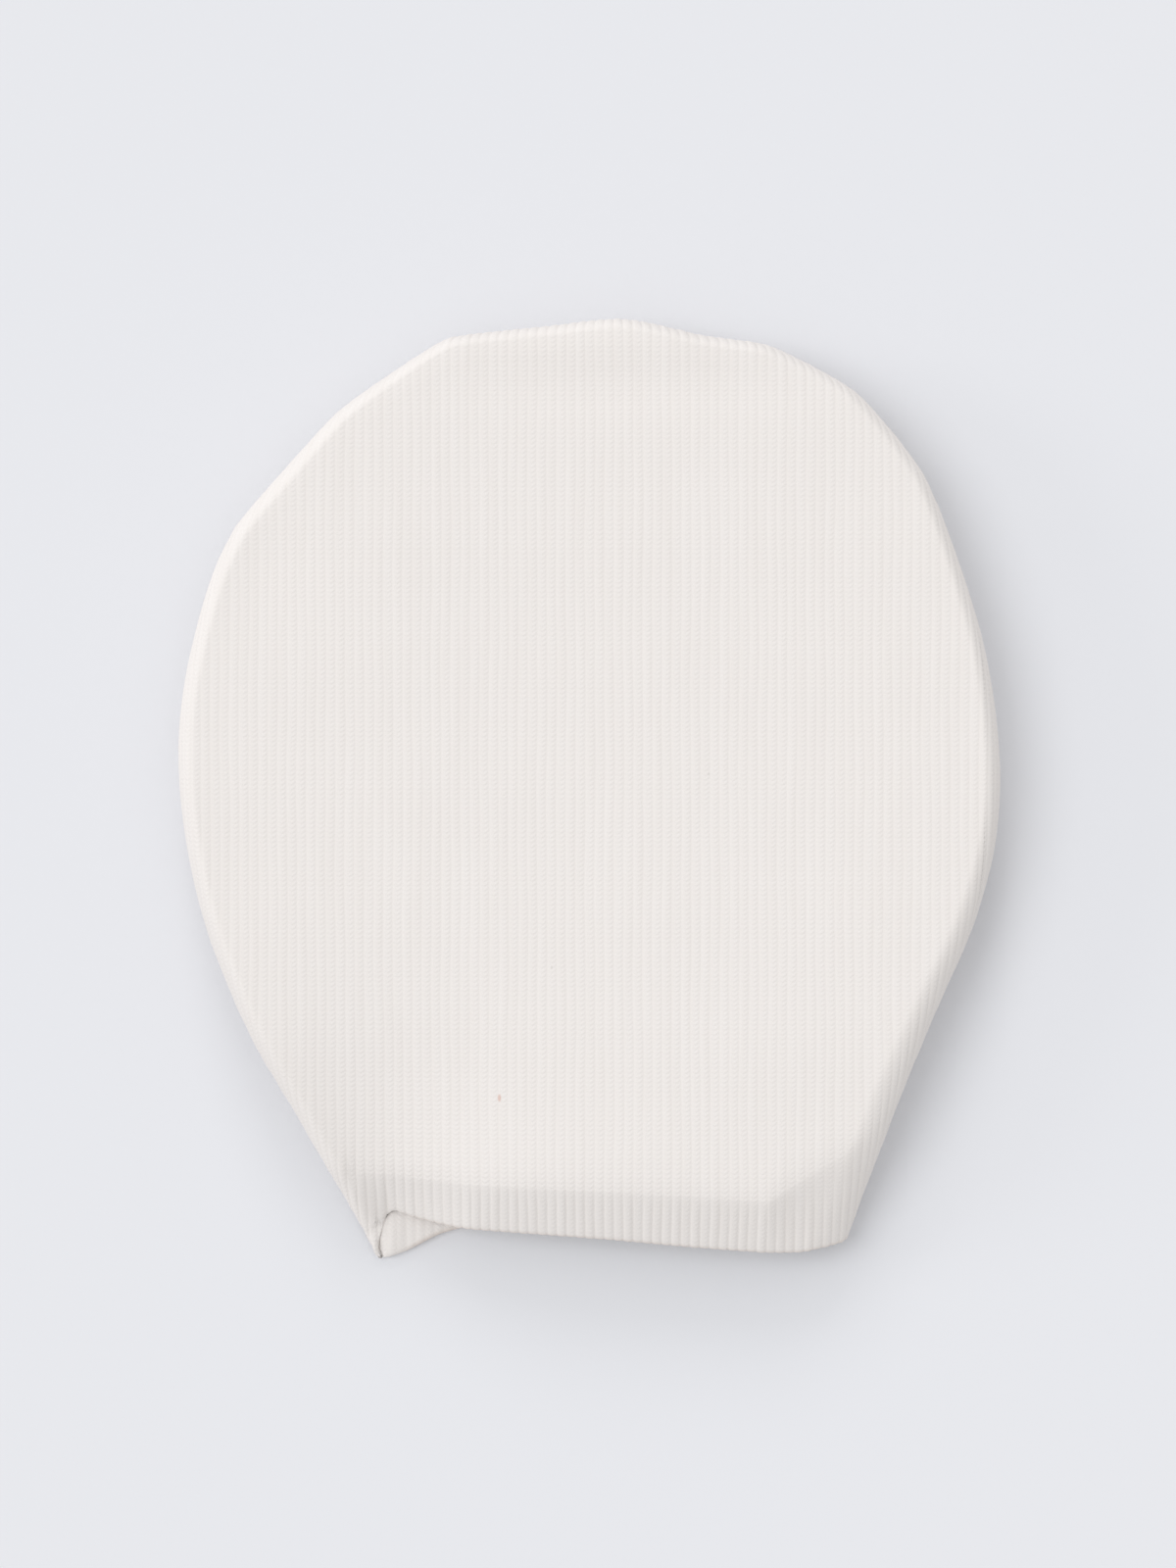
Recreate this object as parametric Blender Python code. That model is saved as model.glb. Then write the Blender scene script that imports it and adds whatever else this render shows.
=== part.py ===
"""A baby's pull-on turban cap in fine rib knit, lying flat: two panels that are joined by a low seam.

Each panel is worked out on the flat cloth first, where its ribs are straight and parallel to Y. The cloth
inside the panel's flat stays where it is. The cloth outside it is wound round the cap's edge, along that
edge's normals.
"""

import math

import bmesh
import bpy
import numpy as np

MM = 0.001

# Driving dimensions, in millimetres.
TOP_HEIGHT = 24.0
WALL = 1.7
HEM_WALL = 3.0
HEM_DEPTH = 15.0
HEM_STEP = 2.0
HEM_FADE = (5.0, 14.0)
HEM_EDGE_SHARE = 0.8
HEM_TIGHTNESS = 0.5
RIB_PITCH = 2.52
RIB_RELIEF = 0.5
SEAM_ANGLE = math.radians(123)
SEAM_GAP = 0.4
CORNER_GAP = 0.6
CORNER_REACH = 16.0
SEAM_GROOVE = 0.4
EDGE_ROUND = 1.4

# How finely the curves and the walls are divided, in millimetres.
CURVE_STEP = 2.0
SIDE_RUN_ON = 40.0
SMOOTH_OVER = 9.0
SECTION_STEPS = 32
COARSE_SPACING = 2 * RIB_PITCH
LEAST_COLUMN = 14.0
SIDE_SHARE = 0.8
LEAST_FLAT = 0.15
MOST_ROUND = 0.08
PROBE = 0.2
ON_CURVE = 0.1
ELSEWHERE = 1000.0

# The widest line of the lying cap, from the left corner of the mouth over the crown to the right corner.
# x, y, how tight the bend is there from 0 to 1, radius of the upper rim, radius of the under edge
OUTLINE = (
    (-56.6, -126.3, 0.0, 2.6, 2.6),
    (-65.2, -109.4, 0.0, 4.0, 5.0),
    (-77.5, -87.1, 0.0, 5.0, 8.0),
    (-90.7, -63.7, 0.0, 5.0, 9.0),
    (-102.8, -32.5, 0.0, 5.0, 9.0),
    (-108.4, -1.3, 0.0, 5.0, 9.0),
    (-107.9, 24.0, 0.0, 5.0, 9.0),
    (-101.1, 53.3, 0.0, 5.0, 9.0),
    (-94.1, 68.9, 0.4, 5.0, 9.0),
    (-80.9, 84.5, 0.0, 5.0, 9.0),
    (-66.3, 100.1, 0.4, 4.5, 9.0),
    (-47.1, 113.6, 0.0, 4.0, 9.0),
    (-36.9, 119.4, 0.5, 4.0, 9.0),
    (-10.9, 122.5, 0.0, 4.0, 9.0),
    (9.0, 124.3, 0.1, 4.0, 9.0),
    (30.0, 120.0, 0.2, 4.0, 9.0),
    (47.6, 117.2, 0.4, 4.0, 9.0),
    (70.5, 104.8, 0.4, 4.0, 9.0),
    (88.7, 82.4, 0.4, 4.0, 9.0),
    (103.0, 42.9, 0.0, 4.5, 9.0),
    (108.2, 12.0, 0.0, 5.0, 9.0),
    (107.7, -11.7, 0.0, 5.5, 9.0),
    (101.9, -35.1, 0.0, 6.5, 9.0),
    (91.8, -58.5, 0.0, 7.5, 9.0),
    (82.2, -81.9, 0.0, 9.0, 9.0),
    (73.6, -105.3, 0.0, 9.0, 8.0),
    (69.2, -118.3, 0.0, 9.0, 6.0),
)

# Across the mouth: x, y where the top starts to slope down, y of the upper hem, height of the top at that hem
MOUTH = (
    (-62.0, -101.4, -117.0, 5.8),
    (-54.0, -101.8, -113.0, 5.8),
    (-46.0, -102.6, -114.0, 7.0),
    (-32.0, -104.0, -116.7, 12.0),
    (0.0, -105.3, -119.5, 14.0),
    (25.5, -106.6, -121.9, 14.0),
    (47.0, -108.2, -123.5, 13.5),
    (58.0, -101.0, -123.0, 13.0),
    (72.0, -92.5, -118.0, 12.0),
)
SLOPE_EASE = 0.15
SLOPE_RUN_ON = 1.15
# How the top settles towards the left corner of the mouth: x, y, reach in x, reach in y, how far it sinks
SETTLING = (-58.0, -120.0, 28.0, 45.0, 10.0)

# The hems on the flat cloth, between the ends of the seam: x, y
UPPER_HEM = (
    (-56.9, -122.2),
    (-55.6, -118.0),
    (-54.6, -114.9),
    (-52.6, -113.0),
    (-47.6, -114.9),
    (-37.6, -117.0),
    (-25.5, -118.0),
    (4.7, -120.0),
    (25.5, -121.9),
    (46.3, -123.5),
    (56.0, -123.4),
    (66.0, -121.6),
    (74.0, -120.6),
)
UNDER_HEM = (
    (-53.4, -125.4),
    (-48.8, -123.7),
    (-39.9, -119.2),
    (-29.0, -116.6),
    (0.0, -117.6),
    (45.0, -121.5),
    (57.0, -120.2),
)

# Soft dents and rises of the top: x, y, reach in x, reach in y, how far the cloth sinks
DENTS = (
    (13.0, 106.0, 44.0, 6.0, 0.9),
    (10.0, 116.0, 40.0, 5.0, -0.3),
    (-86.0, 60.0, 13.0, 16.0, 0.7),
    (0.0, 0.0, 75.0, 80.0, 0.6),
    (62.0, -92.0, 22.0, 16.0, 0.8),
)

# Where each wall has its rows, as shares of the way from the flat's edge to the wall's own edge.
FINE_ROWS = (0.0, 0.11, 0.25, 0.43, 0.68)
COARSE_ROWS = (0.0, 0.18, 0.42, 0.7)
UNDER_ROWS = (0.0, 0.25, 0.5, 0.75)
# Where the flat has its rows, as shares of the way from the mouth to the crown.
FLAT_ROWS = (0.02, 0.15, 0.33, 0.86, 0.955)
UNDER_FLAT_ROWS = (0.02,)

KNIT_COLOUR = (0.79, 0.75, 0.7, 1.0)
KNIT_ROUGHNESS = 0.95


def clear_scene():
    for old in list(bpy.data.objects):
        bpy.data.objects.remove(old, do_unlink=True)


def unit(vectors):
    return vectors / np.maximum(np.linalg.norm(vectors, axis=-1, keepdims=True), 1e-12)


def ease(share):
    """0 below 0, 1 above 1 and a smooth rise between them."""
    share = np.clip(share, 0.0, 1.0)
    return share * share * (3 - 2 * share)


def smooth_curve(points, tightness):
    """A dense curve through the points, and the row and share of a row that each of its points is at."""
    ahead = np.vstack([points[1:], points[-1:]])
    behind = np.vstack([points[:1], points[:-1]])
    tangents = unit(ahead - behind) * (1 - tightness)[:, None]
    curve, rows = [], []
    for i in range(len(points) - 1):
        length = np.linalg.norm(points[i + 1] - points[i])
        t = np.linspace(0, 1, max(2, round(length / CURVE_STEP)), endpoint=False)[:, None]
        curve.append(
            (2 * t**3 - 3 * t**2 + 1) * points[i]
            + (t**3 - 2 * t**2 + t) * length * tangents[i]
            + (3 * t**2 - 2 * t**3) * points[i + 1]
            + (t**3 - t**2) * length * tangents[i + 1]
        )
        rows.append(i + t[:, 0])
    curve.append(points[-1:])
    rows.append([len(points) - 1.0])
    return np.vstack(curve), np.concatenate(rows)


def cap_outline():
    """The widest line with its outward normals and radii, run on straight past the mouth at both ends."""
    table = np.array(OUTLINE)
    curve, rows = smooth_curve(table[:, :2], table[:, 2])
    along = unit(np.gradient(curve, axis=0))
    normals = np.stack([-along[:, 1], along[:, 0]], axis=1)
    over = round(SMOOTH_OVER / CURVE_STEP)
    padded = np.vstack([normals[:1]] * over + [normals] + [normals[-1:]] * over)
    normals = unit(sum(padded[i : i + len(normals)] for i in range(2 * over + 1)))
    radii = np.stack([np.interp(rows, range(len(table)), table[:, k]) for k in (3, 4)], axis=1)
    first = curve[0] - SIDE_RUN_ON * along[0]
    last = curve[-1] + SIDE_RUN_ON * along[-1]
    return {
        "points": np.vstack([first, curve, last]),
        "normals": np.vstack([normals[0], normals, normals[-1]]),
        "radii": np.vstack([radii[0], radii, radii[-1]]),
    }


def edge_section(near, far, height, angle):
    """Sections of the cap's edge, from a flat to an angle: how far out, share of the height, and arc.

    A section is half an ellipse: near is its radius beside the flat, far the radius past the widest line.
    """
    angles = np.linspace(0, angle, SECTION_STEPS)
    out = np.where(
        angles > math.pi / 2,
        near[:, None] - far[:, None] * (1 - np.sin(angles)),
        near[:, None] * np.sin(angles),
    )
    share = np.broadcast_to((1 - np.cos(angles)) / 2, out.shape)
    steps = np.hypot(np.diff(out, axis=1), np.diff(share, axis=1) * height[:, None])
    arc = np.hstack([np.zeros((len(out), 1)), np.cumsum(steps, axis=1)])
    return out, share, arc


def wound(length, near, far, height):
    """How far out a length of cloth gets round the edge, and what share of the height it comes down or up."""
    out, share, arc = edge_section(near, far, height, math.pi)
    k = np.clip((arc < length[:, None]).sum(axis=1) - 1, 0, SECTION_STEPS - 2)
    row = np.arange(len(out))
    f = np.clip((length - arc[row, k]) / (arc[row, k + 1] - arc[row, k]), 0, 1)
    return (
        out[row, k] * (1 - f) + out[row, k + 1] * f,
        share[row, k] * (1 - f) + share[row, k + 1] * f,
    )


def top_height(x, y):
    """The height of the cap at a place seen from above, before its dents."""
    at_x, at_y, reach_x, reach_y, depth = SETTLING
    top = TOP_HEIGHT - depth * np.exp(-(((x - at_x) / reach_x) ** 2) - ((y - at_y) / reach_y) ** 2)
    mouth = np.array(MOUTH)
    start, hem, low = (np.interp(x, mouth[:, 0], mouth[:, k]) for k in (1, 2, 3))
    share = (start - y) / (start - hem)
    ramp = (share + np.sqrt(share**2 + SLOPE_EASE**2)) / 2
    return top - (top - low) * np.minimum(ramp, SLOPE_RUN_ON)


def sink(x, y):
    total = np.zeros_like(x)
    for at_x, at_y, reach_x, reach_y, depth in DENTS:
        total += depth * np.exp(-(((x - at_x) / reach_x) ** 2) - ((y - at_y) / reach_y) ** 2)
    return total


def panel(outline, hem, near, far, angle, upward):
    """A panel on the flat cloth: the edge of its flat, its seam edge and its hem."""
    flat_edge = outline["points"] - outline["normals"] * near[:, None]
    height = top_height(*outline["points"].T)
    corners = outline["points"][[1, -2]]
    from_corner = np.linalg.norm(outline["points"][:, None] - corners, axis=2).min(axis=1)
    gap = SEAM_GAP + CORNER_GAP * (1 - ease(from_corner / CORNER_REACH))
    reach = edge_section(near, far, height, angle)[2][:, -1] - gap / 2
    seam = (flat_edge + outline["normals"] * reach[:, None])[1:-1]
    hem = np.vstack([seam[:1], hem, seam[-1:]])
    hem = smooth_curve(hem, np.full(len(hem), HEM_TIGHTNESS))[0]
    return {
        "flat_edge": flat_edge,
        "normals": outline["normals"],
        "near": near,
        "far": far,
        "height": height,
        "seam": seam,
        "hem": hem,
        "border": np.vstack([seam, hem[::-1], seam[:1]]),
        "upward": upward,
    }


def normal_through(cloth, edge, normals):
    """The segment of the edge, and the share of it, whose normal runs through each place on the cloth."""
    away = cloth[:, None, :] - edge
    side = normals[:, 0] * away[:, :, 1] - normals[:, 1] * away[:, :, 0]
    before, after = side[:, :-1], side[:, 1:]
    share = np.clip(before / np.where(before == after, 1, before - after), 0, 1)
    gap = np.linalg.norm(away[:, :-1] - share[:, :, None] * np.diff(edge, axis=0), axis=2)
    segment = np.where(before * after <= 0, gap, gap + ELSEWHERE).argmin(axis=1)
    return segment, share[np.arange(len(cloth)), segment]


def outer_surface(cloth, made):
    """Where the cloth's outer face lies, before its ribs."""
    segment, share = normal_through(cloth, made["flat_edge"], made["normals"])

    def between(values):
        f = share if values.ndim == 1 else share[:, None]
        return values[segment] * (1 - f) + values[segment + 1] * f

    foot, normal = between(made["flat_edge"]), unit(between(made["normals"]))
    beyond = ((cloth - foot) * normal).sum(axis=1)
    near, far, edge_height = (between(made[key]) for key in ("near", "far", "height"))
    out, round_share = wound(np.maximum(beyond, 0), near, far, edge_height)
    is_flat = beyond <= 0
    plan = np.where(is_flat[:, None], cloth, foot + normal * out[:, None])
    height = top_height(plan[:, 0], plan[:, 1])
    if made["upward"]:
        z = (height - sink(plan[:, 0], plan[:, 1])) * (1 - round_share)
    else:
        z = height * round_share
    return np.column_stack([plan, z])


def placed(cloth, depth, made):
    """The cloth's points, moved in from its outer face by a depth along the surface's normal."""
    across = outer_surface(cloth + (PROBE, 0), made) - outer_surface(cloth - (PROBE, 0), made)
    along = outer_surface(cloth + (0, PROBE), made) - outer_surface(cloth - (0, PROBE), made)
    inward = unit(np.cross(along, across))
    if not made["upward"]:
        inward = -inward
    return outer_surface(cloth, made) + inward * depth[:, None]


def column_ends(x, border):
    """The lowest and highest y of the border at an x."""
    before, after = border[:-1], border[1:]
    crossing = (before[:, 0] - x) * (after[:, 0] - x) < 0
    before, after = before[crossing], after[crossing]
    ys = before[:, 1] + (x - before[:, 0]) / (after[:, 0] - before[:, 0]) * (after[:, 1] - before[:, 1])
    return ys.min(), ys.max()


def column_rows(x, made, wall_rows, flat_rows):
    """The y of each row of one column of the cloth, from the mouth's end to the crown's end."""
    low, high = column_ends(x, made["border"])
    flat = made["flat_edge"]
    if flat[:, 0].min() < x < flat[:, 0].max():
        flat_low, flat_high = column_ends(x, np.vstack([flat, flat[:1]]))
    else:
        flat_low = flat_high = (low + high) / 2
    mouth = np.array(MOUTH)
    if mouth[0, 0] < x < mouth[-1, 0]:
        flat_low = max(flat_low, np.interp(x, mouth[:, 0], mouth[:, 1]))
    centre = (flat_low + flat_high) / 2
    half = max((flat_high - flat_low) / 2, (high - low) * LEAST_FLAT)
    flat_low, flat_high = centre - half, centre + half
    rounding = min(EDGE_ROUND, (high - low) * MOST_ROUND)
    outward = np.array(wall_rows)
    lower = flat_low - outward * (flat_low - low - rounding)
    middle = flat_low + np.array(flat_rows) * (flat_high - flat_low)
    upper = flat_high + outward * (high - rounding - flat_high)
    return np.concatenate([[low, low + rounding], lower[::-1], middle, upper, [high - rounding, high]])


def cloth_grid(made, spacing, wall_rows, flat_rows):
    """Places on the flat cloth, as columns that run along the ribs from the mouth to the crown."""
    border = made["border"]
    seam = made["seam"]
    left, right = border[:, 0].min(), border[:, 0].max()
    xs = [k * spacing for k in range(math.ceil(left / spacing), math.floor(right / spacing) + 1)]
    xs = [x for x in xs if np.ptp(column_ends(x, border)) > LEAST_COLUMN]
    columns = [
        np.column_stack([np.full(len(ys), x), ys])
        for x, ys in ((x, column_rows(x, made, wall_rows, flat_rows)) for x in xs)
    ]
    crown = seam[:, 1].argmax()
    for end, side in ((0, seam[:crown]), (-1, seam[crown:][::-1])):
        ys = columns[end][:, 1]
        ys = ys.mean() + (ys - ys.mean()) * SIDE_SHARE
        column = np.column_stack([np.interp(ys, side[:, 1], side[:, 0]), ys])
        columns.insert(0 if end == 0 else len(columns), column)
    return np.array(columns)


def border_of(columns, rows, start):
    """The four sides of a grid's border, as lists of point numbers, each from one corner to the next."""
    number = start + np.arange(columns * rows).reshape(columns, rows)
    return [number[:, 0], number[-1, :], number[::-1, -1], number[0, ::-1]]


def grid_faces(columns, rows, start, flip):
    """The squares of a grid of points."""
    number = start + np.arange(columns * rows).reshape(columns, rows)
    a, b, c, d = number[:-1, :-1], number[1:, :-1], number[1:, 1:], number[:-1, 1:]
    corners = (a, d, c, b) if flip else (a, b, c, d)
    return np.stack(corners, axis=-1).reshape(-1, 4).tolist()


def zip_faces(one, other, points):
    """Triangles between two lines of points that have different numbers of points."""
    shares = []
    for line in (one, other):
        steps = np.linalg.norm(np.diff(points[line], axis=0), axis=1)
        shares.append(np.concatenate([[0], np.cumsum(steps)]) / steps.sum())
    faces = []
    i = j = 0
    while i < len(one) - 1 or j < len(other) - 1:
        next_one = shares[0][i + 1] if i < len(one) - 1 else math.inf
        next_other = shares[1][j + 1] if j < len(other) - 1 else math.inf
        if next_one <= next_other:
            faces.append((one[i], other[j], one[i + 1]))
            i += 1
        else:
            faces.append((one[i], other[j], other[j + 1]))
            j += 1
    return [[int(n) for n in face] for face in faces]


def distance_to(curve, cloth):
    """How far each place on the cloth is from a curve."""
    step = np.diff(curve, axis=0)
    away = cloth[:, None, :] - curve[:-1]
    share = np.clip((away * step).sum(axis=2) / (step**2).sum(axis=1), 0, 1)
    return np.linalg.norm(away - share[:, :, None] * step, axis=2).min(axis=1)


def thickness(cloth, made):
    """The cloth is double in the turned hem, and single elsewhere and towards the ends of the seam."""
    start, full = HEM_FADE
    in_hem = 1 - ease((distance_to(made["hem"], cloth) - HEM_DEPTH) / HEM_STEP + 0.5)
    off_seam = ease((distance_to(made["seam"], cloth) - start) / (full - start))
    return WALL + (HEM_WALL - WALL) * in_hem * off_seam


def outer_face(made, spacing, wall_rows, flat_rows, relief):
    """The ribbed face of a panel, set in a little along the seam and rounded over along the hem."""
    grid = cloth_grid(made, spacing, wall_rows, flat_rows)
    cloth = grid.reshape(-1, 2)
    at_edge = np.zeros(grid.shape[:2], bool)
    at_edge[[0, -1], :] = at_edge[:, [0, -1]] = True
    at_edge = at_edge.ravel()
    at_hem = at_edge & (distance_to(made["hem"], cloth) < ON_CURVE)
    depth = -relief / 2 * np.cos(2 * math.pi * cloth[:, 0] / RIB_PITCH)
    depth[at_edge] = SEAM_GROOVE
    depth[at_hem] = thickness(cloth[at_hem], made) / 2
    return placed(cloth, depth, made), grid.shape[:2]


def inner_face(made, wall_rows, flat_rows):
    """The plain face of a panel, a wall's thickness in from the ribbed one."""
    grid = cloth_grid(made, COARSE_SPACING, wall_rows, flat_rows)
    cloth = grid.reshape(-1, 2)
    depth = thickness(cloth, made)
    depth[distance_to(made["hem"], cloth) < ON_CURVE] *= HEM_EDGE_SHARE
    return placed(cloth, depth, made), grid.shape[:2]


def knit(name):
    """Cream rib knit."""
    material = bpy.data.materials.new(name)
    material.use_nodes = True
    shader = material.node_tree.nodes["Principled BSDF"]
    shader.inputs["Base Color"].default_value = KNIT_COLOUR
    shader.inputs["Roughness"].default_value = KNIT_ROUGHNESS
    shader.inputs["Metallic"].default_value = 0.0
    return material


def build_object(name, points, faces, material):
    """An object of triangles, facing out."""
    mesh = bpy.data.meshes.new(name)
    mesh.from_pydata((points * MM).tolist(), [], faces)
    body = bmesh.new()
    body.from_mesh(mesh)
    if body.calc_volume(signed=True) < 0:
        bmesh.ops.reverse_faces(body, faces=body.faces)
    bmesh.ops.triangulate(body, faces=body.faces)
    body.to_mesh(mesh)
    body.free()
    mesh.materials.append(material)
    result = bpy.data.objects.new(name, mesh)
    bpy.context.scene.collection.objects.link(result)
    return result


def cloth_body(name, made, outer, inner, material):
    """A closed wall of cloth between its outer and its inner face."""
    outer_points, outer_shape = outer
    inner_points, inner_shape = inner
    points = np.vstack([outer_points, inner_points])
    start = len(outer_points)
    faces = grid_faces(*outer_shape, 0, not made["upward"])
    faces += grid_faces(*inner_shape, start, made["upward"])
    for one, other in zip(border_of(*outer_shape, 0), border_of(*inner_shape, start)):
        strip = zip_faces(one, other, points)
        faces += [face[::-1] for face in strip] if not made["upward"] else strip
    return build_object(name, points, faces, material)


def make_upper_panel(outline, material):
    rim, underside = outline["radii"].T
    made = panel(outline, UPPER_HEM, rim, underside, SEAM_ANGLE, True)
    outer = outer_face(made, RIB_PITCH / 2, FINE_ROWS, FLAT_ROWS, RIB_RELIEF)
    inner = inner_face(made, COARSE_ROWS, FLAT_ROWS)
    return cloth_body("upper_panel", made, outer, inner, material)


def make_under_panel(outline, material):
    rim, underside = outline["radii"].T
    made = panel(outline, UNDER_HEM, underside, rim, math.pi - SEAM_ANGLE, False)
    outer = outer_face(made, COARSE_SPACING, UNDER_ROWS, UNDER_FLAT_ROWS, 0.0)
    inner = inner_face(made, UNDER_ROWS, UNDER_FLAT_ROWS)
    return cloth_body("under_panel", made, outer, inner, material)


clear_scene()
CAP = cap_outline()
KNIT = knit("cream_rib_knit")
make_upper_panel(CAP, KNIT)
make_under_panel(CAP, KNIT)
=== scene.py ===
"""The looks of a baby's pull-on turban cap in cream rib knit, lying flat on a pale floor.

Each panel is worked out on the flat cloth first, where its ribs are straight and parallel to Y. The cloth
inside the panel's flat stays where it is. The cloth outside it is wound round the cap's edge, along that
edge's normals. Sizes are in millimetres, and pieces are built in metres.
"""

import math

import bpy
import numpy as np
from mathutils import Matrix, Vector


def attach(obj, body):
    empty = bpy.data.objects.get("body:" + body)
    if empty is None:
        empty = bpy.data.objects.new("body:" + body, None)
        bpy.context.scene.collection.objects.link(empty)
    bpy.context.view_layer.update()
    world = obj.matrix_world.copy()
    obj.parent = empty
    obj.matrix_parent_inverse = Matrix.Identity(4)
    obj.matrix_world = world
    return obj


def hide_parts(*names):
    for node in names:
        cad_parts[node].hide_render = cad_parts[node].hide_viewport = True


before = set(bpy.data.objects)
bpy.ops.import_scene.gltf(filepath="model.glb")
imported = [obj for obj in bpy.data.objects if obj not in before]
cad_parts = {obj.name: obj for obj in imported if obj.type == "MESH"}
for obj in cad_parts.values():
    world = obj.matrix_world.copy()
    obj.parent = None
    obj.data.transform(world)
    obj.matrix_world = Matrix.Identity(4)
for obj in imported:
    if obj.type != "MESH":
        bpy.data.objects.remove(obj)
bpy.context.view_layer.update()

MM = 0.001

# Driving dimensions of the cap.
TOP_HEIGHT = 24.0
WALL = 1.7
HEM_WALL = 3.0
HEM_DEPTH = 15.0
HEM_STEP = 2.0
HEM_FADE = (5.0, 14.0)
HEM_TIGHTNESS = 0.5
RIB_PITCH = 2.52
COURSE_PITCH = 1.26
SEAM_ANGLE = math.radians(123)
SEAM_GAP = 0.4
CORNER_GAP = 0.6
CORNER_REACH = 16.0
# The tight left corner of the mouth: x, y, reach in x, reach in y, the share by which the top thins, how much
# the under panel thickens, and how far from the seam both are in full
TIGHT_CORNER = (-53.5, -118.5, 4.5, 8.0, 0.4, 1.8, 2.2)

# The knit's relief: how high a rib stands where the cloth is stretched over the top, where it is slack on the
# slope, the walls and the underside, and on the inside, how far from the seam and the hem the top is slack,
# how far a ridge lies above the cloth's mean face, how blunt it is, and the stitches and fibres on it.
STRETCHED_RELIEF = 0.075
SLACK_RELIEF = 0.27
INSIDE_RELIEF = 0.14
SLACK_BY_SEAM = (14.0, 22.0)
SLACK_BY_HEM = (9.0, 17.0)
RIDGE_SHARE = 0.5
RIB_BLUNTNESS = 2.6
RIB_UNEVENNESS = 0.25
RIB_FADE = 12.0
STITCH_RELIEF = 0.07
FIBRE_RELIEF = 0.04
STITCH_LEAN = 0.55

# How finely the curves and the walls are divided.
CURVE_STEP = 1.0
SIDE_RUN_ON = 40.0
SMOOTH_OVER = 9.0
SECTION_STEPS = 64
LEAST_COLUMN = 14.0
SIDE_SHARE = 0.8
LEAST_FLAT = 0.15
MOST_ROUND = 0.08
MID_CLOTH = 0.49
ON_EDGE = 0.01
PROBE = 0.2
ELSEWHERE = 1000.0
TINY = 1e-12
CHUNK = 4000

# The widest line of the lying cap, from the left corner of the mouth over the crown to the right corner.
# x, y, how tight the bend is there from 0 to 1, radius of the upper rim, radius of the under edge
OUTLINE = (
    (-56.6, -126.3, 0.0, 2.6, 2.6),
    (-65.2, -109.4, 0.0, 4.0, 5.0),
    (-77.5, -87.1, 0.0, 5.0, 8.0),
    (-90.7, -63.7, 0.0, 5.0, 9.0),
    (-102.8, -32.5, 0.0, 5.0, 9.0),
    (-108.4, -1.3, 0.0, 5.0, 9.0),
    (-107.9, 24.0, 0.0, 5.0, 9.0),
    (-101.1, 53.3, 0.0, 5.0, 9.0),
    (-94.1, 68.9, 0.4, 5.0, 9.0),
    (-80.9, 84.5, 0.0, 5.0, 9.0),
    (-66.3, 100.1, 0.4, 4.5, 9.0),
    (-47.1, 113.6, 0.0, 4.0, 9.0),
    (-36.9, 119.4, 0.5, 4.0, 9.0),
    (-10.9, 122.5, 0.0, 4.0, 9.0),
    (9.0, 124.3, 0.1, 4.0, 9.0),
    (30.0, 120.0, 0.2, 4.0, 9.0),
    (47.6, 117.2, 0.4, 4.0, 9.0),
    (70.5, 104.8, 0.4, 4.0, 9.0),
    (88.7, 82.4, 0.4, 4.0, 9.0),
    (103.0, 42.9, 0.0, 4.5, 9.0),
    (108.2, 12.0, 0.0, 5.0, 9.0),
    (107.7, -11.7, 0.0, 5.5, 9.0),
    (101.9, -35.1, 0.0, 6.5, 9.0),
    (91.8, -58.5, 0.0, 7.5, 9.0),
    (82.2, -81.9, 0.0, 9.0, 9.0),
    (73.6, -105.3, 0.0, 9.0, 8.0),
    (69.2, -118.3, 0.0, 9.0, 6.0),
)

# Across the mouth: x, y where the top starts to slope down, y of the upper hem, height of the top at that hem
MOUTH = (
    (-62.0, -101.4, -117.0, 5.0),
    (-54.0, -101.8, -113.0, 5.0),
    (-46.0, -102.6, -114.0, 6.6),
    (-32.0, -104.0, -116.7, 12.0),
    (0.0, -105.3, -119.5, 14.0),
    (25.5, -106.6, -121.9, 14.0),
    (47.0, -108.2, -123.5, 13.5),
    (58.0, -101.0, -123.0, 13.0),
    (72.0, -92.5, -118.0, 12.0),
)
SLOPE_EASE = 0.15
SLOPE_RUN_ON = 1.15
# How the top settles towards the left corner of the mouth: x, y, reach in x, reach in y, how far it sinks
SETTLING = (-58.0, -120.0, 28.0, 45.0, 10.0)

# The hems on the flat cloth, between the ends of the seam: x, y
UPPER_HEM = (
    (-56.9, -122.2),
    (-55.6, -118.0),
    (-54.6, -114.9),
    (-52.6, -113.0),
    (-47.6, -114.9),
    (-37.6, -117.0),
    (-25.5, -118.0),
    (4.7, -120.0),
    (25.5, -121.9),
    (46.3, -123.5),
    (56.0, -123.4),
    (66.0, -121.6),
    (74.0, -120.6),
)
UNDER_HEM = (
    (-53.4, -125.4),
    (-48.8, -123.7),
    (-39.9, -119.2),
    (-29.0, -116.6),
    (0.0, -117.6),
    (45.0, -121.5),
    (57.0, -120.2),
)

# Soft dents and rises of the top: x, y, reach in x, reach in y, how far the cloth sinks
DENTS = (
    (13.0, 106.0, 44.0, 6.0, 0.9),
    (10.0, 116.0, 40.0, 5.0, -0.3),
    (-86.0, 60.0, 13.0, 16.0, 0.7),
    (0.0, 0.0, 75.0, 80.0, 0.6),
    (62.0, -92.0, 22.0, 16.0, 0.8),
)

# How the ribs waver on the cloth: how far in ribs, wavelength across and along in millimetres, phase
WAVERS = (
    (0.05, 61.0, 83.0, 0.3),
    (0.03, -23.0, 47.0, 1.9),
    (0.02, 13.0, 29.0, 4.1),
)
# How the ribs' height varies: share, wavelength across in ribs and along in millimetres, phase
RISES = (
    (0.5, 2.3, 71.0, 0.7),
    (0.3, 3.7, -43.0, 2.9),
    (0.2, 1.7, 23.0, 5.2),
)

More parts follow.
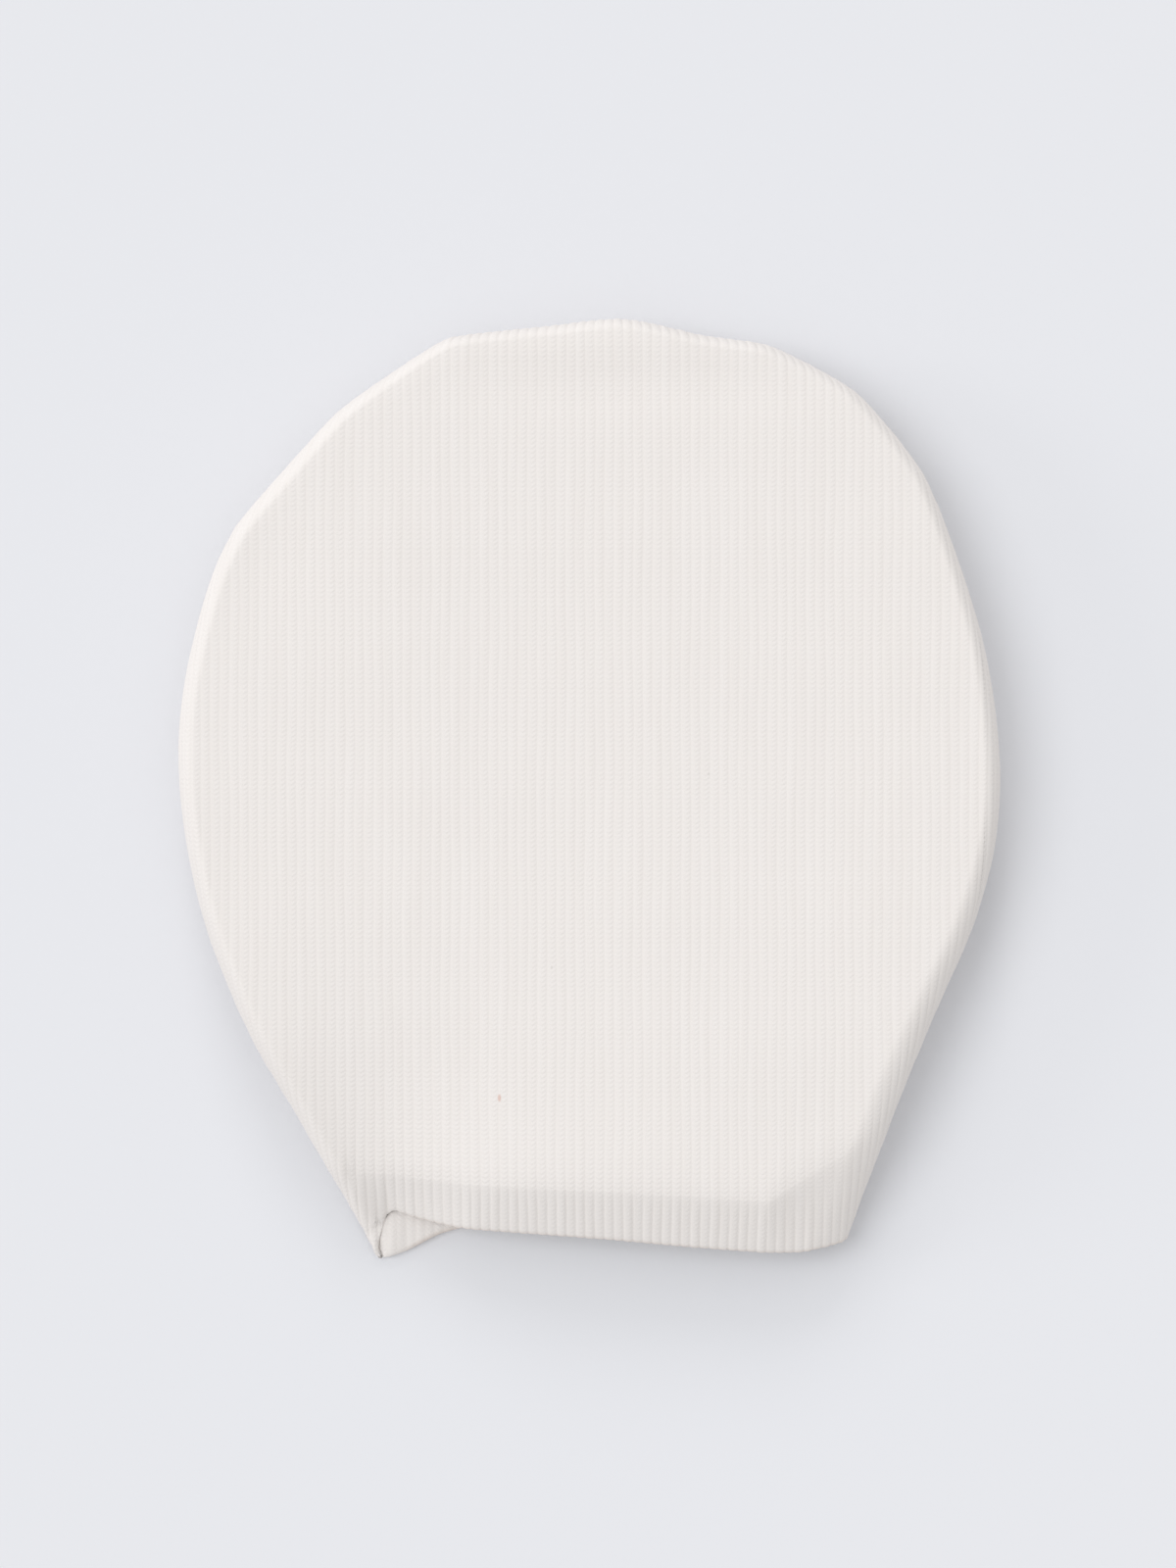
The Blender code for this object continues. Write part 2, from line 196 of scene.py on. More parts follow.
# Where the grids have rows: as shares of the rounding of an edge, of the way down a wall, and of the flat
EDGE_ROWS = (0.0, 0.06, 0.22, 0.5)
WALL_ROWS = (0.0, 0.03, 0.06, 0.09, 0.125, 0.16, 0.2, 0.25, 0.3, 0.37, 0.45, 0.54, 0.64, 0.76, 0.88)
TOP_ROW_COUNT = 44
TOP_ROWS = tuple(np.linspace(0, 1, TOP_ROW_COUNT + 2)[1:-1])
INSIDE_WALL_ROWS = (0.0, 0.06, 0.14, 0.26, 0.42, 0.6, 0.8)
INSIDE_ROWS = (0.015, 0.03, 0.12, 0.22, 0.36, 0.6, 0.84, 0.92, 0.965)
UNDER_WALL_ROWS = (0.0, 0.06, 0.13, 0.21, 0.3, 0.41, 0.54, 0.68, 0.84)
UNDER_ROWS = (0.015, 0.03, 0.35, 0.65)
# How many columns of points each rib has
TOP_COLUMNS = 8
INSIDE_COLUMNS = 4


def unit(vectors):
    return vectors / np.maximum(np.linalg.norm(vectors, axis=-1, keepdims=True), TINY)


def ease(share):
    """0 below 0, 1 above 1 and a smooth rise between them."""
    share = np.clip(share, 0.0, 1.0)
    return share * share * (3 - 2 * share)


def smooth_curve(points, tightness):
    """A dense curve through the points, and the row and share of a row that each of its points is at."""
    ahead = np.vstack([points[1:], points[-1:]])
    behind = np.vstack([points[:1], points[:-1]])
    tangents = unit(ahead - behind) * (1 - tightness)[:, None]
    curve, rows = [], []
    for i in range(len(points) - 1):
        length = np.linalg.norm(points[i + 1] - points[i])
        t = np.linspace(0, 1, max(2, round(length / CURVE_STEP)), endpoint=False)[:, None]
        curve.append(
            (2 * t**3 - 3 * t**2 + 1) * points[i]
            + (t**3 - 2 * t**2 + t) * length * tangents[i]
            + (3 * t**2 - 2 * t**3) * points[i + 1]
            + (t**3 - t**2) * length * tangents[i + 1]
        )
        rows.append(i + t[:, 0])
    curve.append(points[-1:])
    rows.append([len(points) - 1.0])
    return np.vstack(curve), np.concatenate(rows)


def cap_outline():
    """The widest line with its outward normals and radii, run on straight past the mouth at both ends."""
    table = np.array(OUTLINE)
    curve, rows = smooth_curve(table[:, :2], table[:, 2])
    along = unit(np.gradient(curve, axis=0))
    normals = np.stack([-along[:, 1], along[:, 0]], axis=1)
    over = round(SMOOTH_OVER / CURVE_STEP)
    padded = np.vstack([normals[:1]] * over + [normals] + [normals[-1:]] * over)
    normals = unit(sum(padded[i : i + len(normals)] for i in range(2 * over + 1)))
    radii = np.stack([np.interp(rows, range(len(table)), table[:, k]) for k in (3, 4)], axis=1)
    first = curve[0] - SIDE_RUN_ON * along[0]
    last = curve[-1] + SIDE_RUN_ON * along[-1]
    return {
        "points": np.vstack([first, curve, last]),
        "normals": np.vstack([normals[0], normals, normals[-1]]),
        "radii": np.vstack([radii[0], radii, radii[-1]]),
    }


def edge_section(near, far, height, angle):
    """Sections of the cap's edge, from a flat to an angle: how far out, share of the height, and arc.

    A section is half an ellipse: near is its radius beside the flat, far the radius past the widest line.
    """
    angles = np.linspace(0, angle, SECTION_STEPS)
    out = np.where(
        angles > math.pi / 2,
        near[:, None] - far[:, None] * (1 - np.sin(angles)),
        near[:, None] * np.sin(angles),
    )
    share = np.broadcast_to((1 - np.cos(angles)) / 2, out.shape)
    steps = np.hypot(np.diff(out, axis=1), np.diff(share, axis=1) * height[:, None])
    arc = np.hstack([np.zeros((len(out), 1)), np.cumsum(steps, axis=1)])
    return out, share, arc


def wound(length, near, far, height):
    """How far out a length of cloth gets round the edge, and what share of the height it comes down or up."""
    out, share, arc = edge_section(near, far, height, math.pi)
    k = np.clip((arc < length[:, None]).sum(axis=1) - 1, 0, SECTION_STEPS - 2)
    row = np.arange(len(out))
    f = np.clip((length - arc[row, k]) / (arc[row, k + 1] - arc[row, k]), 0, 1)
    return (
        out[row, k] * (1 - f) + out[row, k + 1] * f,
        share[row, k] * (1 - f) + share[row, k + 1] * f,
    )


def top_height(x, y):
    """The height of the cap at a place seen from above, before its dents."""
    at_x, at_y, reach_x, reach_y, depth = SETTLING
    top = TOP_HEIGHT - depth * np.exp(-(((x - at_x) / reach_x) ** 2) - ((y - at_y) / reach_y) ** 2)
    mouth = np.array(MOUTH)
    start, hem, low = (np.interp(x, mouth[:, 0], mouth[:, k]) for k in (1, 2, 3))
    share = (start - y) / (start - hem)
    ramp = (share + np.sqrt(share**2 + SLOPE_EASE**2)) / 2
    return top - (top - low) * np.minimum(ramp, SLOPE_RUN_ON)


def sink(x, y):
    total = np.zeros_like(x)
    for at_x, at_y, reach_x, reach_y, depth in DENTS:
        total += depth * np.exp(-(((x - at_x) / reach_x) ** 2) - ((y - at_y) / reach_y) ** 2)
    return total


def panel(outline, hem, near, far, angle, upward):
    """A panel on the flat cloth: the edge of its flat, its seam edge and its hem."""
    flat_edge = outline["points"] - outline["normals"] * near[:, None]
    height = top_height(*outline["points"].T)
    corners = outline["points"][[1, -2]]
    from_corner = np.linalg.norm(outline["points"][:, None] - corners, axis=2).min(axis=1)
    gap = SEAM_GAP + CORNER_GAP * (1 - ease(from_corner / CORNER_REACH))
    reach = edge_section(near, far, height, angle)[2][:, -1] - gap / 2
    seam = (flat_edge + outline["normals"] * reach[:, None])[1:-1]
    hem = np.vstack([seam[:1], hem, seam[-1:]])
    hem = smooth_curve(hem, np.full(len(hem), HEM_TIGHTNESS))[0]
    return {
        "flat_edge": flat_edge,
        "normals": outline["normals"],
        "near": near,
        "far": far,
        "height": height,
        "seam": seam,
        "hem": hem,
        "border": np.vstack([seam, hem[::-1], seam[:1]]),
        "upward": upward,
    }


def in_chunks(function, places, *more):
    """A function of many places, worked out a few thousand at a time to save memory."""
    parts = [function(places[i : i + CHUNK], *more) for i in range(0, len(places), CHUNK)]
    return np.concatenate(parts)


def distance_to(cloth, curve):
    """How far each place on the cloth is from a curve."""
    step = np.diff(curve, axis=0)
    away = cloth[:, None, :] - curve[:-1]
    share = np.clip((away * step).sum(axis=2) / (step**2).sum(axis=1), 0, 1)
    return np.linalg.norm(away - share[:, :, None] * step, axis=2).min(axis=1)


def normal_through(cloth, edge, normals):
    """The segment of the edge, and the share of it, whose normal runs through each place on the cloth."""
    away = cloth[:, None, :] - edge
    side = normals[:, 0] * away[:, :, 1] - normals[:, 1] * away[:, :, 0]
    before, after = side[:, :-1], side[:, 1:]
    share = np.clip(before / np.where(before == after, 1, before - after), 0, 1)
    gap = np.linalg.norm(away[:, :-1] - share[:, :, None] * np.diff(edge, axis=0), axis=2)
    segment = np.where(before * after <= 0, gap, gap + ELSEWHERE).argmin(axis=1)
    return segment, share[np.arange(len(cloth)), segment]


def outer_surface(cloth, made):
    """Where the cloth's outer face lies, before its ribs."""
    segment, share = normal_through(cloth, made["flat_edge"], made["normals"])

    def between(values):
        f = share if values.ndim == 1 else share[:, None]
        return values[segment] * (1 - f) + values[segment + 1] * f

    foot, normal = between(made["flat_edge"]), unit(between(made["normals"]))
    beyond = ((cloth - foot) * normal).sum(axis=1)
    near, far, edge_height = (between(made[key]) for key in ("near", "far", "height"))
    out, round_share = wound(np.maximum(beyond, 0), near, far, edge_height)
    is_flat = beyond <= 0
    plan = np.where(is_flat[:, None], cloth, foot + normal * out[:, None])
    height = top_height(plan[:, 0], plan[:, 1])
    if made["upward"]:
        z = (height - sink(plan[:, 0], plan[:, 1])) * (1 - round_share)
    else:
        z = height * round_share
    return np.column_stack([plan, z])


def placed(cloth, depth, made):
    """The cloth's points, moved in from its outer face by a depth along the surface's normal."""

    def surface(shift):
        return in_chunks(outer_surface, cloth + shift, made)

    across = surface((PROBE, 0)) - surface((-PROBE, 0))
    along = surface((0, PROBE)) - surface((0, -PROBE))
    inward = unit(np.cross(along, across))
    if not made["upward"]:
        inward = -inward
    return surface((0, 0)) + inward * depth[:, None]


def column_ends(x, border):
    """The lowest and highest y of the border at an x."""
    before, after = border[:-1], border[1:]
    crossing = (before[:, 0] - x) * (after[:, 0] - x) < 0
    before, after = before[crossing], after[crossing]
    ys = before[:, 1] + (x - before[:, 0]) / (after[:, 0] - before[:, 0]) * (after[:, 1] - before[:, 1])
    return ys.min(), ys.max()


def column_rows(x, made, wall_rows, flat_rows):
    """The y of each row of one column of the cloth, from the mouth's end to the crown's end."""
    low, high = column_ends(x, made["border"])
    flat = made["flat_edge"]
    if flat[:, 0].min() < x < flat[:, 0].max():
        flat_low, flat_high = column_ends(x, np.vstack([flat, flat[:1]]))
    else:
        flat_low = flat_high = (low + high) / 2
    mouth = np.array(MOUTH)
    if mouth[0, 0] < x < mouth[-1, 0]:
        flat_low = max(flat_low, np.interp(x, mouth[:, 0], mouth[:, 1]))
    centre = (flat_low + flat_high) / 2
    half = max((flat_high - flat_low) / 2, (high - low) * LEAST_FLAT)
    flat_low, flat_high = centre - half, centre + half
    rounding = min(HEM_WALL / 2, (high - low) * MOST_ROUND)
    edge, outward = np.array(EDGE_ROWS) * rounding, np.array(wall_rows)
    lower = flat_low - outward * (flat_low - low - rounding)
    middle = flat_low + np.array(flat_rows) * (flat_high - flat_low)
    upper = flat_high + outward * (high - rounding - flat_high)
    ends = [low + rounding], [high - rounding]
    return np.concatenate([low + edge, ends[0], lower[::-1], middle, upper, ends[1], high - edge[::-1]])


def cloth_grid(made, spacing, wall_rows, flat_rows):
    """Places on the flat cloth, as columns that run along the ribs from the mouth to the crown."""
    border, seam = made["border"], made["seam"]
    left, right = border[:, 0].min(), border[:, 0].max()
    xs = [k * spacing for k in range(math.ceil(left / spacing), math.floor(right / spacing) + 1)]
    xs = [x for x in xs if np.ptp(column_ends(x, border)) > LEAST_COLUMN]
    columns = [
        np.column_stack([np.full(len(ys), x), ys])
        for x, ys in ((x, column_rows(x, made, wall_rows, flat_rows)) for x in xs)
    ]
    crown = seam[:, 1].argmax()
    for end, side in ((0, seam[:crown]), (-1, seam[crown:][::-1])):
        ys = columns[end][:, 1]
        ys = ys.mean() + (ys - ys.mean()) * SIDE_SHARE
        column = np.column_stack([np.interp(ys, side[:, 1], side[:, 0]), ys])
        columns.insert(0 if end == 0 else len(columns), column)
    return np.array(columns)


def border_of(columns, rows, start):
    """The four sides of a grid's border, as lists of point numbers, each from one corner to the next."""
    number = start + np.arange(columns * rows).reshape(columns, rows)
    return [number[:, 0], number[-1, :], number[::-1, -1], number[0, ::-1]]


def grid_faces(columns, rows, start, flip):
    """The squares of a grid of points."""
    number = start + np.arange(columns * rows).reshape(columns, rows)
    a, b, c, d = number[:-1, :-1], number[1:, :-1], number[1:, 1:], number[:-1, 1:]
    corners = (a, d, c, b) if flip else (a, b, c, d)
    return np.stack(corners, axis=-1).reshape(-1, 4).tolist()


def zip_faces(one, other, points):
    """Triangles between two lines of points that have different numbers of points."""
    shares = []
    for line in (one, other):
        steps = np.linalg.norm(np.diff(points[line], axis=0), axis=1)
        shares.append(np.concatenate([[0], np.cumsum(steps)]) / steps.sum())
    faces = []
    i = j = 0
    while i < len(one) - 1 or j < len(other) - 1:
        next_one = shares[0][i + 1] if i < len(one) - 1 else math.inf
        next_other = shares[1][j + 1] if j < len(other) - 1 else math.inf
        if next_one <= next_other:
            faces.append((one[i], other[j], one[i + 1]))
            i += 1
        else:
            faces.append((one[i], other[j], other[j + 1]))
            j += 1
    return [[int(n) for n in face] for face in faces]


def thickness(cloth, to_hem, to_seam, upward):
    """The cloth is double in the turned hem, and single elsewhere and towards the ends of the seam."""
    x, y, reach_x, reach_y, thinner, thicker, full_from = TIGHT_CORNER
    tight = np.exp(-(((cloth[:, 0] - x) / reach_x) ** 2) - ((cloth[:, 1] - y) / reach_y) ** 2)
    tight *= ease(to_seam / full_from)
    start, full = HEM_FADE
    in_hem = 1 - ease((to_hem - HEM_DEPTH) / HEM_STEP + 0.5)
    off_seam = ease((to_seam - start) / (full - start))
    thick = WALL + (HEM_WALL - WALL) * in_hem * off_seam
    return thick * (1 - thinner * tight) if upward else thick + thicker * tight


def waves(table, across, along):
    """A sum of slanting waves, the same each run."""
    return sum(
        size * np.sin(2 * math.pi * (across / wide + along / long) + phase)
        for size, wide, long, phase in table
    )


def rib_relief(to_hem, to_seam):
    """How high the ribs of the top stand: the cloth is stretched flat, and slack near its edges."""
    slack = [
        1 - ease((distance - near) / (far - near))
        for distance, (near, far) in ((to_seam, SLACK_BY_SEAM), (to_hem, SLACK_BY_HEM))
    ]
    return STRETCHED_RELIEF + (SLACK_RELIEF - STRETCHED_RELIEF) * np.maximum(*slack)


def rib_height(ribs, y, relief):
    """How high the knit stands above its grooves' bottom, from the rib's number and the place along it."""
    off_ridge = np.abs(ribs - np.round(ribs)) * 2
    uneven = 1 + RIB_UNEVENNESS * waves(RISES, np.round(ribs), y)
    return relief * uneven * (1 - off_ridge**RIB_BLUNTNESS)


def rounded_edge(to_edge, thick):
    """How far a face draws in towards the middle of the cloth beside an edge, as round a fold."""
    radius = thick / 2
    left = 1 - np.clip(to_edge / radius, 0, 1)
    return radius * (1 - np.sqrt(1 - left**2))


def cloth_face(made, per_rib, wall_rows, flat_rows, inside):
    """One face of a panel: its points, its grid's shape, its place in the knit, and how far off the hem is."""
    grid = cloth_grid(made, RIB_PITCH / per_rib, wall_rows, flat_rows)
    cloth = grid.reshape(-1, 2)
    ribs = cloth[:, 0] / RIB_PITCH
    courses = cloth[:, 1] / COURSE_PITCH
    to_hem, to_seam = (in_chunks(distance_to, cloth, made[key]) for key in ("hem", "seam"))
    to_edge = np.minimum(to_hem, to_seam)
    drift = waves(WAVERS, cloth[:, 0], cloth[:, 1]) * ease(to_edge / RIB_FADE)
    cloth = cloth + np.column_stack([drift * RIB_PITCH, np.zeros(len(cloth))])
    thick = thickness(cloth, to_hem, to_seam, made["upward"])
    if made["upward"] and not inside:
        settled = top_height(cloth[:, 0], cloth[:, 1]) / TOP_HEIGHT
        relief = rib_relief(to_hem, to_seam / settled)
    else:
        relief = np.full(len(cloth), INSIDE_RELIEF if inside else SLACK_RELIEF)
    height = rib_height(ribs + 0.5 * inside, cloth[:, 1], relief)
    draw_in = np.minimum(rounded_edge(to_edge, thick), thick * MID_CLOTH)
    if inside:
        depth = thick - draw_in - height
    elif made["upward"]:
        depth = relief * RIDGE_SHARE - height + draw_in
    else:
        depth = relief * (1 + RIB_UNEVENNESS) - height + draw_in
    at_edge = thick * (1 - MID_CLOTH if inside else MID_CLOTH)
    depth = np.where(to_edge < ON_EDGE, at_edge, depth)
    return placed(cloth, depth, made), grid.shape[:2], np.column_stack([ribs, courses]), to_hem


def build_cloth(name, made, outer, inner, material):
    """A closed wall of cloth between its outer and its inner face."""
    outer_points, outer_shape, outer_knit, outer_to_hem = outer
    inner_points, inner_shape, inner_knit, inner_to_hem = inner
    points = np.vstack([outer_points, inner_points])
    start = len(outer_points)
    faces = grid_faces(*outer_shape, 0, not made["upward"])
    faces += grid_faces(*inner_shape, start, made["upward"])
    for one, other in zip(border_of(*outer_shape, 0), border_of(*inner_shape, start)):
        strip = zip_faces(one, other, points)
        faces += strip if made["upward"] else [face[::-1] for face in strip]
    mesh = bpy.data.meshes.new(name)
    mesh.from_pydata((points * MM).tolist(), [], faces)
    corner = np.empty(len(mesh.loops), np.int32)
    mesh.loops.foreach_get("vertex_index", corner)
    knit = np.vstack([outer_knit, inner_knit])[corner]
    mesh.uv_layers.new(name="knit").data.foreach_set("uv", knit.astype(np.float32).ravel())
    to_hem = np.concatenate([outer_to_hem, inner_to_hem]).astype(np.float32)
    mesh.attributes.new("to_hem", "FLOAT", "POINT").data.foreach_set("value", to_hem)
    mesh.polygons.foreach_set("use_smooth", np.ones(len(mesh.polygons), bool))
    mesh.materials.append(material)
    piece = bpy.data.objects.new(name, mesh)
    bpy.context.scene.collection.objects.link(piece)
    return piece


def make_upper_knit(outline, material):
    rim, underside = outline["radii"].T
    made = panel(outline, UPPER_HEM, rim, underside, SEAM_ANGLE, True)
    outer = cloth_face(made, TOP_COLUMNS, WALL_ROWS, TOP_ROWS, False)
    inner = cloth_face(made, INSIDE_COLUMNS, INSIDE_WALL_ROWS, INSIDE_ROWS, True)
    return build_cloth("upper_knit", made, outer, inner, material), made


def make_under_knit(outline, material):
    rim, underside = outline["radii"].T
    made = panel(outline, UNDER_HEM, underside, rim, math.pi - SEAM_ANGLE, False)
    outer = cloth_face(made, INSIDE_COLUMNS, UNDER_WALL_ROWS, UNDER_ROWS, False)
    inner = cloth_face(made, INSIDE_COLUMNS, UNDER_WALL_ROWS, UNDER_ROWS, True)
    return build_cloth("under_knit", made, outer, inner, material), made


# The seam's stitches: spacing, thread radius, how far each bites into the cloth and leans along the seam, and
# how many are left out at each end
STITCH_SPACING = 2.4
THREAD_RADIUS = 0.2
STITCH_BITE = 0.9
STITCH_SLANT = 0.7
PLAIN_ENDS = 4


def make_seam_stitches(upper, under, material):
    """Short slanting stitches that join the panels across the seam's groove."""
    lengths = np.linalg.norm(np.diff(upper["seam"], axis=0), axis=1)
    along = np.concatenate([[0], np.cumsum(lengths)])
    count = int(along[-1] / STITCH_SPACING)
    at = ((np.arange(count) + 0.5) * along[-1] / count)[PLAIN_ENDS:-PLAIN_ENDS]
    ends = []
    for made, shift in ((upper, -STITCH_SLANT / 2), (under, STITCH_SLANT / 2)):
        normals = made["normals"][1:-1]
        place = np.column_stack([np.interp(at + shift, along, made["seam"][:, k]) for k in (0, 1)])
        normal = np.column_stack([np.interp(at + shift, along, normals[:, k]) for k in (0, 1)])
        for bite, depth in ((STITCH_BITE, THREAD_RADIUS), (STITCH_BITE / 3, 0.0)):
            cloth = place - unit(normal) * bite
            ends.append(placed(cloth, np.full(len(at), depth), made))
    curve = bpy.data.curves.new("seam_stitches", "CURVE")
    curve.dimensions = "3D"
    curve.bevel_depth = THREAD_RADIUS * MM
    curve.bevel_resolution = 1
    curve.use_fill_caps = True
    for upper_bite, upper_lip, under_bite, under_lip in zip(*ends):
        spline = curve.splines.new("POLY")
        spline.points.add(3)
        for point, place in zip(spline.points, (upper_bite, upper_lip, under_lip, under_bite)):
            point.co = (*(place * MM), 1.0)
    curve.materials.append(material)
    piece = bpy.data.objects.new("seam_stitches", curve)
    bpy.context.scene.collection.objects.link(piece)
    return piece


# Colours, as light values
CREAM = (0.845, 0.812, 0.79, 1.0)
CREAM_SHADE = (0.81, 0.772, 0.745, 1.0)
# Painted shade: the darker, warmer colour given to the grooves and to the gaps between fibres
GROOVE_PAINTED_SHADE = (0.76, 0.71, 0.67, 1.0)
THREAD = (0.82, 0.78, 0.74, 1.0)
# Painted shade along the hem's fold, darker and browner than the cloth
HEM_FOLD_SHADE = (0.66, 0.56, 0.49, 1.0)
FLOOR = (0.775, 0.782, 0.812, 1.0)

# How far the painted shade along the hem's fold reaches, how strong it is at the fold, and where along x it
# sets in
HEM_FOLD_SHADE_REACH = 1.6
HEM_FOLD_SHADE_SHARE = 0.6
HEM_FOLD_SHADE_FROM = (-53.0, -46.0)

# The knit's unevenness: scale across the ribs, scale along the courses, scale of both, detail
FIBRES = (3.0, 1.2, 2.5, 3.0)
STREAKS = (1.0, 0.03, 0.9, 2.0)
CLOUDS = (0.1, 0.05, 1.0, 2.0)
BANDS = (0.04, 0.4, 1.0, 2.0)
# The range of each noise that shows, and how much painted shade a groove and a gap between fibres get
STREAK_RANGE = (0.3, 0.7)
FIBRE_RANGE = (0.35, 0.65)
GROOVE_SHADE_SHARE = 0.14
FIBRE_GAP_SHADE_SHARE = 0.24
# How narrow a groove is in the painted groove shade and in the stitches, as powers
GROOVE_POWER = 4.0
STITCH_POWER = 3.0
BUMP_STRENGTH = 0.8
# How much of a mark's middle is in full colour
MARK_CORE = 0.2

# The shaders' roughness and gloss, and the thread's twist: scale, strength and depth of its bump
KNIT_ROUGHNESS = 0.92
KNIT_GLOSS = 0.2
THREAD_ROUGHNESS = 0.7
FLOOR_ROUGHNESS = 0.9
FLOOR_GLOSS = 0.1
TWIST_SCALE = 2600.0
TWIST_STRENGTH = 0.4
TWIST_DEPTH = 0.1 * MM

# Marks on the top: x, y, half width, half length, colour, strength
MARKS = (
    (-23.6, -81.1, 0.55, 1.2, (0.62, 0.33, 0.25, 1.0), 0.5),
    (31.2, 3.9, 0.35, 0.5, (0.55, 0.52, 0.5, 1.0), 0.35),
    (-10.1, -46.8, 0.3, 0.6, (0.55, 0.52, 0.5, 1.0), 0.35),
)


class Nodes:
    """Adds nodes to a material's tree; inputs are numbers, colours or other nodes' outputs."""

    def __init__(self, name):
        self.material = bpy.data.materials.new(name)
        self.material.use_nodes = True
        self.tree = self.material.node_tree
        self.shader = self.tree.nodes["Principled BSDF"]

    def feed(self, socket, value):
        if isinstance(value, bpy.types.NodeSocket):
            self.tree.links.new(value, socket)
        else:
            socket.default_value = value

    def add(self, kind, inputs, **settings):
        made = self.tree.nodes.new(kind)
        for key, value in settings.items():
            setattr(made, key, value)
        for key, value in inputs.items():
            self.feed(made.inputs[key], value)
        return made

    def math(self, operation, *values):
        return self.add("ShaderNodeMath", dict(enumerate(values)), operation=operation).outputs[0]

    def times(self, one, other):
        return self.math("MULTIPLY", one, other)

    def mix(self, share, one, other):
        inputs = {0: share, 6: one, 7: other}
        return self.add("ShaderNodeMix", inputs, data_type="RGBA").outputs[2]

    def noise(self, vector, scale, detail):
        inputs = {"Vector": vector, "Scale": scale, "Detail": detail}
        return self.add("ShaderNodeTexNoise", inputs).outputs["Fac"]

    def knit_noise(self, rib, course, look):
        """A noise over the knit. A look is its scale across, its scale along, its scale and its detail."""
        across, along, scale, detail = look
        place = {"X": self.times(rib, across), "Y": self.times(course, along)}
        vector = self.add("ShaderNodeCombineXYZ", place).outputs[0]
        return self.noise(vector, scale, detail)

    def spread(self, value, low, high):
        """0 at low, 1 at high and held past both."""
        inputs = {"Value": value, "From Min": low, "From Max": high}
        return self.add("ShaderNodeMapRange", inputs, clamp=True).outputs[0]


def knit_material():
    """Cream rib knit: courses of leaning stitches on each rib, fine fibres, and streaks along the ribs, with
    painted shade in the grooves, between the fibres and along the hem's fold.
    """
    n = Nodes("cream_rib_knit")
    place = n.add("ShaderNodeUVMap", {}, uv_map="knit").outputs[0]
    split = n.add("ShaderNodeSeparateXYZ", {0: place})
    rib, course = split.outputs[0], split.outputs[1]
    off_ridge = n.times(n.math("PINGPONG", rib, 0.5), 2.0)
    on_ridge = n.math("SUBTRACT", 1.0, n.math("POWER", off_ridge, STITCH_POWER))
    leaning = n.math("SUBTRACT", course, n.times(off_ridge, STITCH_LEAN))
    wave = n.math("COSINE", n.times(leaning, 2 * math.pi))
    stitch = n.times(n.math("MULTIPLY_ADD", wave, 0.5, 0.5), on_ridge)
    looks = (FIBRES, STREAKS, CLOUDS, BANDS)
    fibres, streaks, clouds, bands = (n.knit_noise(rib, course, look) for look in looks)
    mottle = n.math("MULTIPLY_ADD", clouds, 0.5, n.times(bands, 0.5))
    tone = n.math("MULTIPLY_ADD", n.spread(streaks, *STREAK_RANGE), 0.5, n.times(mottle, 0.5))
    colour = n.mix(tone, CREAM_SHADE, CREAM)
    # Painted shade: the grooves between the ribs are darkened
    colour = n.mix(n.times(n.math("POWER", off_ridge, GROOVE_POWER), GROOVE_SHADE_SHARE), colour, GROOVE_PAINTED_SHADE)
    # Painted shade: the gaps between the fibres are darkened
    shade_between_fibres = n.math("SUBTRACT", 1.0, n.spread(fibres, *FIBRE_RANGE))
    colour = n.mix(n.times(shade_between_fibres, FIBRE_GAP_SHADE_SHARE), colour, GROOVE_PAINTED_SHADE)
    to_hem = n.add("ShaderNodeAttribute", {}, attribute_name="to_hem").outputs["Fac"]
    # Painted shade: the cloth is darkened and browned along the hem's fold
    fold_shade = n.times(n.spread(to_hem, HEM_FOLD_SHADE_REACH, 0.0), HEM_FOLD_SHADE_SHARE)
    fold_shade = n.times(fold_shade, n.spread(rib, *(x / RIB_PITCH for x in HEM_FOLD_SHADE_FROM)))
    colour = n.mix(fold_shade, colour, HEM_FOLD_SHADE)
    for x, y, wide, long, mark, strength in MARKS:
        dx = n.times(n.math("SUBTRACT", rib, x / RIB_PITCH), RIB_PITCH / wide)
        dy = n.times(n.math("SUBTRACT", course, y / COURSE_PITCH), COURSE_PITCH / long)
        far = n.math("ADD", n.times(dx, dx), n.times(dy, dy))
        colour = n.mix(n.times(n.spread(far, 1.0, MARK_CORE), strength), colour, mark)
    height = n.math("MULTIPLY_ADD", stitch, STITCH_RELIEF, n.times(fibres, FIBRE_RELIEF))
    bump = n.add("ShaderNodeBump", {"Height": height, "Strength": BUMP_STRENGTH, "Distance": MM})
    n.feed(n.shader.inputs["Normal"], bump.outputs[0])
    n.feed(n.shader.inputs["Base Color"], colour)
    n.shader.inputs["Roughness"].default_value = KNIT_ROUGHNESS
    n.shader.inputs["Specular IOR Level"].default_value = KNIT_GLOSS
    return n.material


def thread_material():
    """The cream sewing thread of the seam, with its twist."""
    n = Nodes("cream_thread")
    place = n.add("ShaderNodeTexCoord", {}).outputs["Object"]
    twist = n.noise(place, TWIST_SCALE, 1.0)
    n.feed(n.shader.inputs["Base Color"], n.mix(n.spread(twist, *STREAK_RANGE), THREAD, CREAM))
    bump = n.add("ShaderNodeBump", {"Height": twist, "Strength": TWIST_STRENGTH, "Distance": TWIST_DEPTH})
    n.feed(n.shader.inputs["Normal"], bump.outputs[0])
    n.shader.inputs["Roughness"].default_value = THREAD_ROUGHNESS
    return n.material


def floor_material():
    n = Nodes("pale_floor")
    n.shader.inputs["Base Color"].default_value = FLOOR
    n.shader.inputs["Roughness"].default_value = FLOOR_ROUGHNESS
    n.shader.inputs["Specular IOR Level"].default_value = FLOOR_GLOSS
    return n.material


